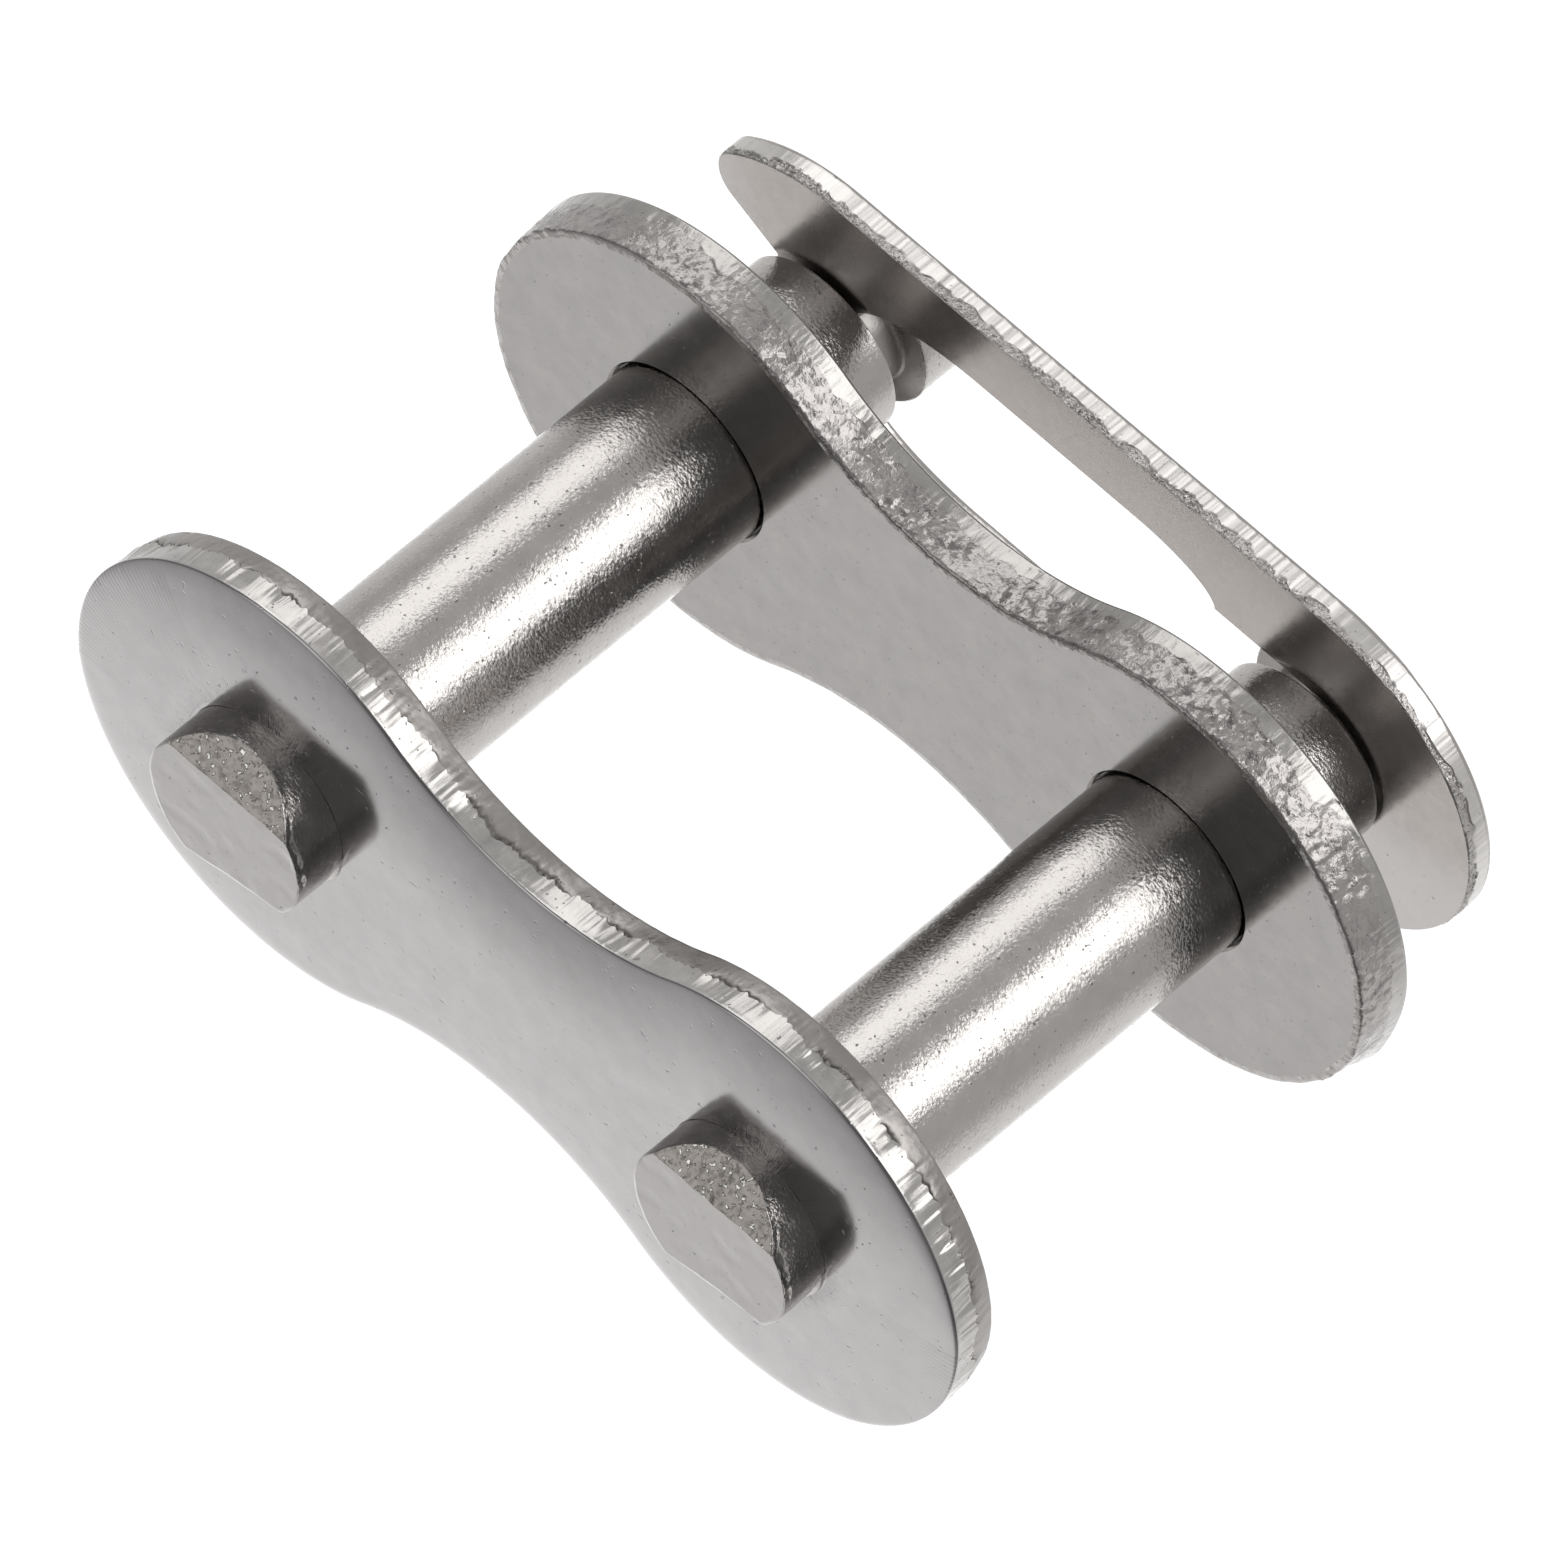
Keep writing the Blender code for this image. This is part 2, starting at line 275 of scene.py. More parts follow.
def add_node(tree, kind, inputs=None, **settings):
    """Add a shader node with its settings; each input is a value or the socket that feeds it."""
    node = tree.nodes.new(kind)
    for setting, value in settings.items():
        setattr(node, setting, value)
    for socket, value in (inputs or {}).items():
        if isinstance(value, bpy.types.NodeSocket):
            tree.links.new(value, node.inputs[socket])
        else:
            node.inputs[socket].default_value = value
    return node


CLOUD_MM = 0.7
CLOUD_LOW, CLOUD_HIGH = 0.3, 0.7
SHEEN_LOW, SHEEN_HIGH = 0.85, 1.2
SPECK_EDGE = 0.07


def bright_steel(name, colour, roughness, grain_mm, grain_um, drawn=(1, 1, 1), speck_mm=0.1, speck_um=0.0,
                 speck_tone=0.6, speck_below=0.29, patch=0.055, facet_mm=0.0, facet_tilt=0.0, film=0.0):
    """Bare steel. Grain is the period and height of its fine relief, drawn stretches it, specks are rare
    pits, raised instead where speck_um is negative, and speck_tone scales their colour: darker under 1,
    and painted glints above 1. Patch is how much its tone wanders, facets are crystals that each tilt
    their own way, and film is the share of the light that a dull film scatters. Real grain is finer than
    the render can show, so it is drawn at 0.05 mm or more."""
    material = bpy.data.materials.new(name)
    material.use_nodes = True
    tree = material.node_tree
    shader = tree.nodes["Principled BSDF"]
    shader.inputs["Metallic"].default_value = 1.0 - film
    place = add_node(tree, "ShaderNodeTexCoord").outputs["Object"]
    along = add_node(tree, "ShaderNodeMapping", {"Vector": place, "Scale": drawn}).outputs["Vector"]
    grain = add_node(tree, "ShaderNodeTexNoise", {"Vector": along, "Scale": 1 / (grain_mm * MM),
                                                  "Detail": 2.0, "Roughness": 0.55}).outputs["Fac"]
    cloud = add_node(tree, "ShaderNodeTexNoise", {"Vector": place, "Scale": 1 / (CLOUD_MM * MM),
                                                  "Detail": 5.0, "Roughness": 0.6}).outputs["Fac"]
    speck = add_node(tree, "ShaderNodeTexNoise", {"Vector": place, "Scale": 1 / (speck_mm * MM),
                                                  "Detail": 1.0}).outputs["Fac"]
    speck = add_node(tree, "ShaderNodeMapRange", {"Value": speck, "From Min": speck_below - SPECK_EDGE,
                                                  "From Max": speck_below}).outputs["Result"]
    # Specks take speck_tone of the colour: darker where it is under 1, painted glints where it is above 1.
    shade = add_node(tree, "ShaderNodeMapRange", {"Value": speck, "To Min": speck_tone}).outputs["Result"]
    clouded = {"Value": cloud, "From Min": CLOUD_LOW, "From Max": CLOUD_HIGH}
    tone = add_node(tree, "ShaderNodeMapRange", {**clouded, "To Min": 1 - patch,
                                                 "To Max": 1 + patch}).outputs["Result"]
    tone = add_node(tree, "ShaderNodeMath", {0: tone, 1: shade}, operation="MULTIPLY").outputs[0]
    tint = add_node(tree, "ShaderNodeMix", {0: 1.0, 6: linear(colour), 7: tone}, data_type="RGBA",
                    blend_type="MULTIPLY").outputs[2]
    tree.links.new(tint, shader.inputs["Base Color"])
    sheen = add_node(tree, "ShaderNodeMapRange", {**clouded, "To Min": roughness * SHEEN_LOW,
                                                  "To Max": roughness * SHEEN_HIGH}).outputs["Result"]
    tree.links.new(sheen, shader.inputs["Roughness"])
    bump = add_node(tree, "ShaderNodeBump", {"Height": grain, "Distance": grain_um * 1e-6, "Strength": 1.0})
    if facet_mm:
        crystal = add_node(tree, "ShaderNodeTexVoronoi", {"Vector": along, "Scale": 1 / (facet_mm * MM)})
        tilt = add_node(tree, "ShaderNodeVectorMath", {0: crystal.outputs["Color"], 1: (0.5, 0.5, 0.5)},
                        operation="SUBTRACT")
        upright = add_node(tree, "ShaderNodeNewGeometry").outputs["Normal"]
        tilted = add_node(tree, "ShaderNodeVectorMath", {0: tilt.outputs[0], 1: (facet_tilt,) * 3,
                                                         2: upright}, operation="MULTIPLY_ADD")
        tree.links.new(tilted.outputs[0], bump.inputs["Normal"])
    if speck_um:
        bump = add_node(tree, "ShaderNodeBump", {"Height": speck, "Distance": speck_um * 1e-6,
                                                 "Strength": 1.0, "Normal": bump.outputs["Normal"]})
    tree.links.new(bump.outputs["Normal"], shader.inputs["Normal"])
    return material


# Cold-rolled strip, tumbled smooth: a calm satin mirror, faintly clouded, with a few shallow pits.
tumbled_plate_steel = bright_steel("tumbled_plate_steel", "b9b6b6", 0.14, grain_mm=0.05, grain_um=0.25,
                                   speck_mm=0.14, speck_um=4.0, speck_tone=0.8)
# Edge rubbed bright by the die: hard white glints in lines that run straight across it.
burnished_land_steel = bright_steel("burnished_land_steel", "bfbcb9", 0.25, grain_mm=0.06, grain_um=4.0,
                                    drawn=(1, 0.12, 1), speck_mm=0.1, speck_um=6.0, patch=0.18)
# Edge that tore off: dull, sandy and darker than the land, with no direction.
torn_break_steel = bright_steel("torn_break_steel", "a39f9c", 0.34, grain_mm=0.08, grain_um=4.0,
                                speck_mm=0.1, speck_um=8.0, patch=0.08)

PRESS_GAP = 0.004 * MM
PRESS_HOLE_CHAMFER = 0.01 * MM
plate_rows = edge_rows(plate_low.y - BULGE, plate_high.y, DOME, plate_droop,
                       plate_thickness * (LAND_SHARE + land_edge), dragged, torn)
press_holes = [(x, axis_z, pin_radius + PRESS_GAP, PRESS_HOLE_CHAMFER) for x in pin_x]
pin_plate = stamped_blank("pin_plate_steelwork", plate_places, plate_rows, press_holes,
                          [tumbled_plate_steel, burnished_land_steel, torn_break_steel])
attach(pin_plate, "link")
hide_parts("pin_plate")

# Pins
# Two pins of drawn steel, tumbled to an even grain, each with a turned groove for the clip and a chamfered
# head. Their near ends were sheared off: a smooth face, a sparkling break above it and a flat below.
GROOVE_DEPTH = 0.62 * MM
GROOVE_BEFORE_CLIP = 0.14 * MM
GROOVE_AFTER_CLIP = 0.03 * MM
# Corners of the groove in millimetres: (distance into it, depth below the shank) at its edge, and
# (distance into it, height above the core) at its foot.
GROOVE_EDGE = [(-0.02, 0.01), (0, 0.04)]
GROOVE_FOOT = [(0.02, 0.02), (0.08, 0)]
GROOVE_CORNER = 0.08 * MM
GROOVE_LEAD = 0.05 * MM
SHELTERED_DEPTH = 0.06 * MM
SHELTERED_WAVES = 0.4
HEAD_CHAMFER = 0.2 * MM
HEAD_CENTRE = 0.1 * MM
FLAT_DEPTH = 0.5 * MM
BREAK_HEIGHT = 0.75 * MM
BREAK_SETBACK = 0.65 * MM
RIM_WIDTH = 0.15 * MM
RIM_LEAST = 0.15
# Rows of (inset, depth) as shares of the rim's width, from the end face to the wall.
RIM = [(1.0, 0.0), (0.75, 0.04), (0.5, 0.13), (0.25, 0.24), (0.08, 0.36), (0.0, 0.55)]
PRESSED_TURN = math.radians(-105)
BURR_TURN = math.radians(22)
BURR_SPREAD = 0.32
BURR_HEIGHT = 0.03 * MM
BURR_WIDTH = 0.06 * MM
BURR_TEETH = (19, 8)
FOLD_TURN = math.radians(330)
FOLD_SPREAD = 0.35
# Ridges of (height, distance from an edge, width) in millimetres: the crack under the burr, and the lip and
# the hollow of the fold where the flat runs out at the plate.
CRACK = (0.07, 0.12, 0.04)
ROOT_LIP = (0.08, 0.07, 0.05)
ROOT_HOLLOW = (0.06, 0.2, 0.05)
CREASE_WAVE = [(0.45, 0.05)]
CREASE_MOST = 0.97
CREASE_EDGE = 0.001 * MM
END_LUMPS = [(0.3, 0.02), (0.09, 0.008)]
END_LUMPS_START = 0.12 * MM
END_WAVE = [(0.5, 0.012)]
STUB_WAVE = [(0.4, 0.012)]
SHANK_WAVES = [(0.28, 0.0022), (0.7, 0.003)]
LEAST_COSINE = 0.05
PIN_COLUMNS = 240
CREASE_RING = 13
STUB_ROWS = 35
SHANK_STEP = 0.06 * MM
GROOVE_WALL_ROWS = 8
GROOVE_CORE_ROWS = 12
HEAD_ROWS = 16
CHAMFER_ROWS = 7
HEAD_FACE_ROWS = 11
PIN_SHARP = 33
SHANK, SHEARED, SPARKLING, GROOVED = 0, 1, 2, 3

clip_low, clip_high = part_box("spring_clip")
groove_start = clip_low.y - GROOVE_BEFORE_CLIP
groove_end = clip_high.y + GROOVE_AFTER_CLIP
turns = np.linspace(0, 2 * np.pi, PIN_COLUMNS, endpoint=False)
cos, sin = np.cos(turns), np.sin(turns)

# Drawn bar, tumbled: soft lines of light that sparkle along a fine, even grain.
tumbled_pin_steel = bright_steel("tumbled_pin_steel", "bfbbb8", 0.2, grain_mm=0.07, grain_um=8.5,
                                 drawn=(0.9, 1.1, 0.9), speck_mm=0.1, speck_um=10.0, speck_tone=0.7,
                                 facet_mm=0.05, facet_tilt=0.07)
# Sheared face: a flat satin grey, wiped by the blade in faint streaks.
sheared_end_steel = bright_steel("sheared_end_steel", "b1aeac", 0.24, grain_mm=0.2, grain_um=5.0,
                                 drawn=(1, 1, 0.35), speck_mm=0.12, speck_um=12.0)
# Fractured crystals: a dim grey ground with raised beads here and there, their colour brightened 2.6 times
# as painted glints.
crystalline_break_painted_glints = bright_steel("crystalline_break_painted_glints", "aca6a1", 0.3, grain_mm=0.08, grain_um=7.0,
                                       speck_mm=0.1, speck_um=-50.0, speck_tone=2.6, speck_below=0.4,
                                       facet_mm=0.09, facet_tilt=0.2)
# Turned steel that the tumbling didn't reach: fine tool rings under a dull film.
turned_groove_steel = bright_steel("turned_groove_steel", "b2aeab", 0.3, grain_mm=0.06, grain_um=5.0,
                                   drawn=(1, 2.5, 1), film=0.2)


def bell(value, middle, width):
    """Smooth bump of height 1."""
    return np.exp(-((value - middle) / width) ** 2)


def ridge(distance, height, place, width):
    """Ridge in millimetres at one distance from an edge."""
    return height * bell(distance, place * MM, width * MM)


def stub_rows(centre_x, radius, end_y, flat_turn):
    """Rows of (x, y, z) about the axis from the sheared end to the plate, and each face's material."""
    towards_flat = np.cos(turns - math.radians(-90 + flat_turn))

    def walled(y):
        """Wall radius at a station, cut back by the flat that runs out at the plate."""
        reach = radius - FLAT_DEPTH * np.clip((plate_low.y - y) / (plate_low.y - end_y), 0, 1)
        reach = np.minimum(radius, reach / np.maximum(towards_flat, LEAST_COSINE))
        return np.where(towards_flat > LEAST_COSINE, reach, radius)

    chord = np.stack([centre_x + radius * cos, 0 * cos, 0 * cos], axis=1)
    crease = radius - BREAK_HEIGHT + lumpy(chord, CREASE_WAVE, seed=27) * MM

    def end_height(z):
        """Station of the sheared end: flat below the crease, leaning back above it."""
        return end_y + np.maximum(0, z - crease) * BREAK_SETBACK / BREAK_HEIGHT

    pressed = 0.5 + 0.5 * np.cos(turns - PRESSED_TURN)
    rim_width = RIM_WIDTH * (RIM_LEAST + (1 - RIM_LEAST) * np.clip(pressed * 1.5 - 0.35, 0, 1))
    burr = bell(turns, BURR_TURN, BURR_SPREAD) + bell(turns, BURR_TURN + 2 * np.pi, BURR_SPREAD)
    teeth = np.sin(turns * BURR_TEETH[0]) * np.sin(turns * BURR_TEETH[1])
    burr = burr * np.clip(0.6 + 0.8 * teeth, 0, 1.3)
    fold = bell(turns, FOLD_TURN, FOLD_SPREAD)
    rim = walled(end_height(radius * sin))
    flat_end = rim - rim_width
    creased = np.where(sin > LEAST_COSINE, crease / np.maximum(sin, LEAST_COSINE), radius)
    creased = np.minimum(creased, CREASE_MOST * flat_end)
    ends = [(creased * share, 0) for share in np.linspace(0, 1, CREASE_RING + 1)[1:]]
    ends += [(creased + (flat_end - creased) * share, 0) for share in np.linspace(0, 1, CREASE_RING)[1:-1]]
    ends += [(rim - rim_width * inset, rim_width * depth) for inset, depth in RIM]
    rows = []
    slots = []
    for index, (reach, back) in enumerate(ends):
        x, z = reach * cos, reach * sin
        y = end_height(z) + back - BURR_HEIGHT * burr * bell(reach, rim, BURR_WIDTH)
        here = np.stack([centre_x + x, y, z], axis=1)
        broken = np.clip((z - crease) / END_LUMPS_START, 0, 1)
        y = y + broken * lumpy(here, END_LUMPS, seed=21) * MM
        y = np.maximum(end_y, y + lumpy(here, END_WAVE, seed=23) * MM)
        rows.append((x, y, z))
        above = (z > crease - CREASE_EDGE) & (index >= CREASE_RING - 1)
        slots += np.where(above, SPARKLING, SHEARED).tolist()
    rim_y = end_height(rim * sin) + rim_width * RIM[-1][1]
    for share in np.linspace(0, 1, STUB_ROWS + 1)[1:]:
        y = rim_y + share * (plate_low.y - rim_y)
        root = ridge(plate_low.y - y, *ROOT_LIP) - ridge(plate_low.y - y, *ROOT_HOLLOW)
        here = np.stack([centre_x + radius * cos, y, radius * sin], axis=1)
        waves = lumpy(here, STUB_WAVE, seed=24) * min(1, share * 6)
        reach = walled(y) + (root * fold - ridge(y - rim_y, *CRACK) * burr + waves) * MM
        rows.append((reach * cos, y, reach * sin))
    slots = slots[:-PIN_COLUMNS] + [SHANK] * (PIN_COLUMNS * (STUB_ROWS + 1))
    return rows, slots


def turned_stations(radius, head_y):
    """Stations of (y, radius) from the plate to the middle of the head: shank, groove and chamfered head."""
    core = radius - GROOVE_DEPTH
    shank_rows = round((groove_start - plate_low.y) / SHANK_STEP)
    steep = np.linspace(radius - GROOVE_CORNER, core + GROOVE_CORNER, GROOVE_WALL_ROWS)
    wall = [(inward * MM, radius - depth * MM) for inward, depth in GROOVE_EDGE]
    wall += [(0, reach) for reach in steep]
    wall += [(inward * MM, core + rise * MM) for inward, rise in GROOVE_FOOT]
    inset = 1.5 * GROOVE_CORNER
    stations = [(y, radius) for y in np.linspace(plate_low.y, groove_start - GROOVE_LEAD, shank_rows)[1:]]
    stations += [(groove_start + inward, reach) for inward, reach in wall]
    stations += [(y, core) for y in np.linspace(groove_start + inset, groove_end - inset, GROOVE_CORE_ROWS)]
    stations += [(groove_end - inward, reach) for inward, reach in reversed(wall)]
    head = np.linspace(groove_end + GROOVE_LEAD, head_y - HEAD_CHAMFER, HEAD_ROWS)
    stations += [(y, radius) for y in head]
    for turn in np.radians(np.linspace(0, 90, CHAMFER_ROWS + 1)[1:]):
        stations.append((head_y - HEAD_CHAMFER * (1 - math.sin(turn)),
                         radius - HEAD_CHAMFER * (1 - math.cos(turn))))
    face = np.linspace(radius - HEAD_CHAMFER, HEAD_CENTRE, HEAD_FACE_ROWS + 1)[1:]
    return stations + [(head_y, reach) for reach in face]


def turned_pin(name, node, flat_turn):
    """Lathe the pin from its sheared end to its head, in rings of points about its axis."""
    low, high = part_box(node)
    centre_x = (low.x + high.x) / 2
    radius = (high.x - low.x) / 2
    rows, slots = stub_rows(centre_x, radius, low.y, flat_turn)
    stations = turned_stations(radius, high.y)
    for y, reach in stations:
        here = np.stack([centre_x + reach * cos, np.full(PIN_COLUMNS, y), reach * sin], axis=1)
        waves = lumpy(here, SHANK_WAVES, seed=25) * MM
        if abs(reach - radius) > SHELTERED_DEPTH:
            waves = waves * SHELTERED_WAVES
        rows.append(((reach + waves) * cos, np.full(PIN_COLUMNS, y), (reach + waves) * sin))
    for (y, _), (next_y, _) in zip(stations, stations[1:]):
        grooved = y >= groove_start and next_y <= groove_end
        slots += [GROOVED if grooved else SHANK] * PIN_COLUMNS

    grid = [np.stack([centre_x + x, y, axis_z + z], axis=1) for x, y, z in rows]
    points = np.vstack([[(centre_x, low.y, axis_z)]] + grid + [[(centre_x, high.y, axis_z)]])
    ring = np.arange(PIN_COLUMNS)
    after = np.roll(ring, -1)
    last = 1 + (len(rows) - 1) * PIN_COLUMNS
    faces = [(0, 1 + int(a), 1 + int(b)) for a, b in zip(after, ring)]
    for index in range(len(rows) - 1):
        faces += ring_faces(1 + index * PIN_COLUMNS, PIN_COLUMNS).tolist()
    faces += [(len(points) - 1, last + int(a), last + int(b)) for a, b in zip(ring, after)]
    slots = [SHEARED] * PIN_COLUMNS + slots + [SHANK] * PIN_COLUMNS
    data, mesh = start_piece(name, points, faces, slots)
    pin = finish_piece(data, mesh, [tumbled_pin_steel, sheared_end_steel, crystalline_break_painted_glints,
                                    turned_groove_steel], PIN_SHARP)
    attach(pin, "link")
    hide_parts(node)


turned_pin("pin_1_steelwork", "pin_1", flat_turn=13)
turned_pin("pin_2_steelwork", "pin_2", flat_turn=9)

# Cover plate
# The same blank as the pin plate, slipped loose over both pins with its sharp face inward. A worn punch
# tore most of its edge: the land is short, the break crumpled, and a torn lip stands out below pin_2.
SLIP_GAP = 0.06 * MM
SLIP_HOLE_CHAMFER = 0.05 * MM
LIP_HEIGHT = 0.34 * MM
LIP_FOOT = 0.003 * MM
LIP_RISE = 1.5
LIP_TURN = math.radians(-40)
LIP_SPREAD = math.radians(16)
COVER_ROLL = [(0.4, 0.0), (0.3, 0.007), (0.2, 0.025), (0.12, 0.048), (0.06, 0.073), (0.025, 0.095),
              (0.007, 0.115), (0.0, 0.14)]
COVER_LAND_SHARE = 0.34
COVER_LAND_EDGE = [(1.4, 0.16), (0.35, 0.1)]
COVER_SCORING = [(0.06, 0.01), (0.2, 0.018)]
COVER_SMEARS = [(0.2, 0.009)]
CRUMPLES = [(0.24, 0.04), (0.1, 0.018)]
CRUMPLED_SWELL = [(0.7, 0.02)]
CRUMPLED_INSET = 0.02
CRUMPLED_LEAN = 0.04
SCORING_FADE = 0.3
SMEARED_LEAN = 0.02
ISLAND_INSET = 0.012

cover_low, cover_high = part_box("cover_plate")
cover_thickness = cover_high.y - cover_low.y
cover_places = walk(plate_outline("cover_plate"), PLATE_STEP)
cover_rim = edge_places(cover_places, 0)
cover_droop = droop_towards(cover_places, least=0.25, middle=0.75, x_share=0.1, z_share=0.95)
scored = lumpy(cover_rim, COVER_SCORING, seed=31)
scored *= 0.3 + 2 * patchy(cover_rim, 1.1, seed=33, middle=0, swing=1)
calm = patchy(cover_rim, 2.4, seed=36, middle=0.55, swing=3, least=0.15) * cover_droop


def crumpled(depth, share):
    """Torn break: calm stretches and flat islands among coarse facets."""
    here = edge_places(cover_places, depth)
    island = patchy(here, 0.6, seed=38, middle=-0.06, swing=3)
    even = (CRUMPLED_INSET + CRUMPLED_LEAN * share) * cover_droop + scored * math.exp(-share / SCORING_FADE)
    swell = lumpy(here, CRUMPLED_SWELL, seed=41) + island * ISLAND_INSET
    facets = (1 - island) * lumpy(here, CRUMPLES, seed=39) * calm
    return (even + swell * min(1, share * 3) + facets * min(1, share * 4 + 0.2)) * MM


def smeared(depth, share):
    """Short land, scored and smeared in patches."""
    smears = lumpy(edge_places(cover_places, depth), COVER_SMEARS, seed=39) * calm
    return (SMEARED_LEAN * share + scored * min(1, 0.4 + share) + smears) * MM


cover_rows = edge_rows(cover_high.y, cover_low.y, COVER_ROLL, cover_droop,
                       cover_thickness * (COVER_LAND_SHARE + lumpy(cover_rim, COVER_LAND_EDGE, seed=34)),
                       smeared, crumpled)
# The lip is highest on the outer face's side and runs out at the sharp face.
about_pin_2 = np.arctan2(cover_places[1] - axis_z, cover_places[0] - pin_x[1])
lip = np.maximum(0, LIP_HEIGHT * bell(about_pin_2, LIP_TURN, LIP_SPREAD) - LIP_FOOT)
cover_rows = [(y, inset - lip * np.clip((y - cover_low.y) / cover_thickness, 0, 1) ** LIP_RISE, slot)
              for y, inset, slot in cover_rows]
slip_holes = [(x, axis_z, pin_radius + SLIP_GAP, SLIP_HOLE_CHAMFER) for x in pin_x]

# Cold-rolled strip, tumbled: the pin plate's satin, a shade darker and more spotted.
tumbled_cover_steel = bright_steel("tumbled_cover_steel", "a3a09e", 0.15, grain_mm=0.05, grain_um=0.3,
                                   speck_mm=0.1, speck_um=5.0, speck_tone=0.65, speck_below=0.31,
                                   patch=0.075)
# Land smeared by a worn die: bright and dull stretches beside each other, lightly scored.
smeared_land_steel = bright_steel("smeared_land_steel", "b4b1ae", 0.24, grain_mm=0.06, grain_um=5.0,
                                  drawn=(1, 0.3, 1), patch=0.14, facet_mm=0.12, facet_tilt=0.05)
# Break crumpled by the worn punch: a crust of small facets, white and dark side by side.
crumpled_edge_steel = bright_steel("crumpled_edge_steel", "aca8a6", 0.28, grain_mm=0.08, grain_um=14.0,
                                   speck_mm=0.1, speck_um=8.0, patch=0.14, facet_mm=0.12, facet_tilt=0.2)

cover_plate = stamped_blank("cover_plate_steelwork", cover_places, cover_rows, slip_holes,
                            [tumbled_cover_steel, smeared_land_steel, crumpled_edge_steel])
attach(cover_plate, "cover")
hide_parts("cover_plate")

# Spring clip
# A horseshoe blanked from hardened spring strip, smooth and a little warmer in tone than the plates. It
# snaps sideways into both grooves, its jaws about pin_1 and its round end about pin_2.
CLIP_LEG_WIDTH = 1.74 * MM
CLIP_EYE_CLEARANCE = 0.42 * MM
CLIP_EYE_LENGTH = 2.6 * MM
CLIP_EYE_RAMP = 2.1 * MM
CLIP_EYE_STEP = 0.775 * MM
CLIP_SEAT_CLEARANCE = 0.08 * MM
CLIP_SEAT_WRAP = 62
CLIP_SNAP = 0.53 * MM
CLIP_NOTCH_LENGTH = 3.2 * MM
CLIP_TIP_TURN = 41.2
CLIP_TIP_RADIUS = 0.78 * MM
CLIP_FLARE = 28
CLIP_ROLL = 0.12 * MM
CLIP_STEP = 0.03 * MM
CLIP_SEATED = 0.045 * MM
# Rows of (height above the sharp face, inset) in millimetres, which break its edge.
CLIP_BEVEL = [(0.0, 0.045), (0.012, 0.034)]
CLIP_BREAK_START = 0.03 * MM
CLIP_BREAK_SHARE = 0.28
CLIP_BREAK_EDGE = [(0.9, 0.2), (0.3, 0.14)]
CLIP_BREAK_INSET = 0.012
CLIP_BREAK_STEP = 0.02
CLIP_PITS = [(0.13, 0.04), (0.06, 0.03)]
CLIP_SCORING = [(0.05, 0.005), (0.2, 0.008)]
CLIP_LAND_INSET = 0.006
CLIP_BREAK_ROWS = 9
CLIP_LAND_ROWS = 7
CLIP_ROLL_ROWS = 7


def clip_outline():
    """Closed outline of the clip: the upper half as blanked, then its mirror image."""
    open_x, closed_x = pin_x
    core = pin_radius - GROOVE_DEPTH
    seat = core + CLIP_SEAT_CLEARANCE
    eye = core + CLIP_EYE_CLEARANCE
    inside = eye + CLIP_EYE_STEP
    outside = inside + CLIP_LEG_WIDTH
    tip_turn = 90 + CLIP_TIP_TURN
    tip_place = outside - CLIP_TIP_RADIUS
    tip_x = open_x + tip_place * math.cos(math.radians(tip_turn))
    tip_z = tip_place * math.sin(math.radians(tip_turn))
    seat_start = 180 - math.degrees(math.asin((core - CLIP_SNAP / 2) / seat))
    notch_x = open_x + seat * math.cos(math.radians(CLIP_SEAT_WRAP))
    notch_z = seat * math.sin(math.radians(CLIP_SEAT_WRAP))
    upper = np.vstack([
        arc(closed_x, 0, outside, outside, 0, 90),
        arc(open_x, 0, outside, outside, 90, tip_turn),
        arc(tip_x, tip_z, CLIP_TIP_RADIUS, CLIP_TIP_RADIUS, tip_turn, 270 - CLIP_FLARE),
        arc(open_x, 0, seat, seat, seat_start, CLIP_SEAT_WRAP),
        arc(notch_x + CLIP_NOTCH_LENGTH, notch_z, CLIP_NOTCH_LENGTH, inside - notch_z, 180, 90),
        arc(closed_x - CLIP_EYE_LENGTH - CLIP_EYE_RAMP, eye, CLIP_EYE_RAMP, CLIP_EYE_STEP, 90, 0),
        arc(closed_x, 0, eye, eye, 90, 0),
    ])
    lower = upper[::-1] * (1, -1)
    return np.vstack([upper, lower]) + (0, axis_z)


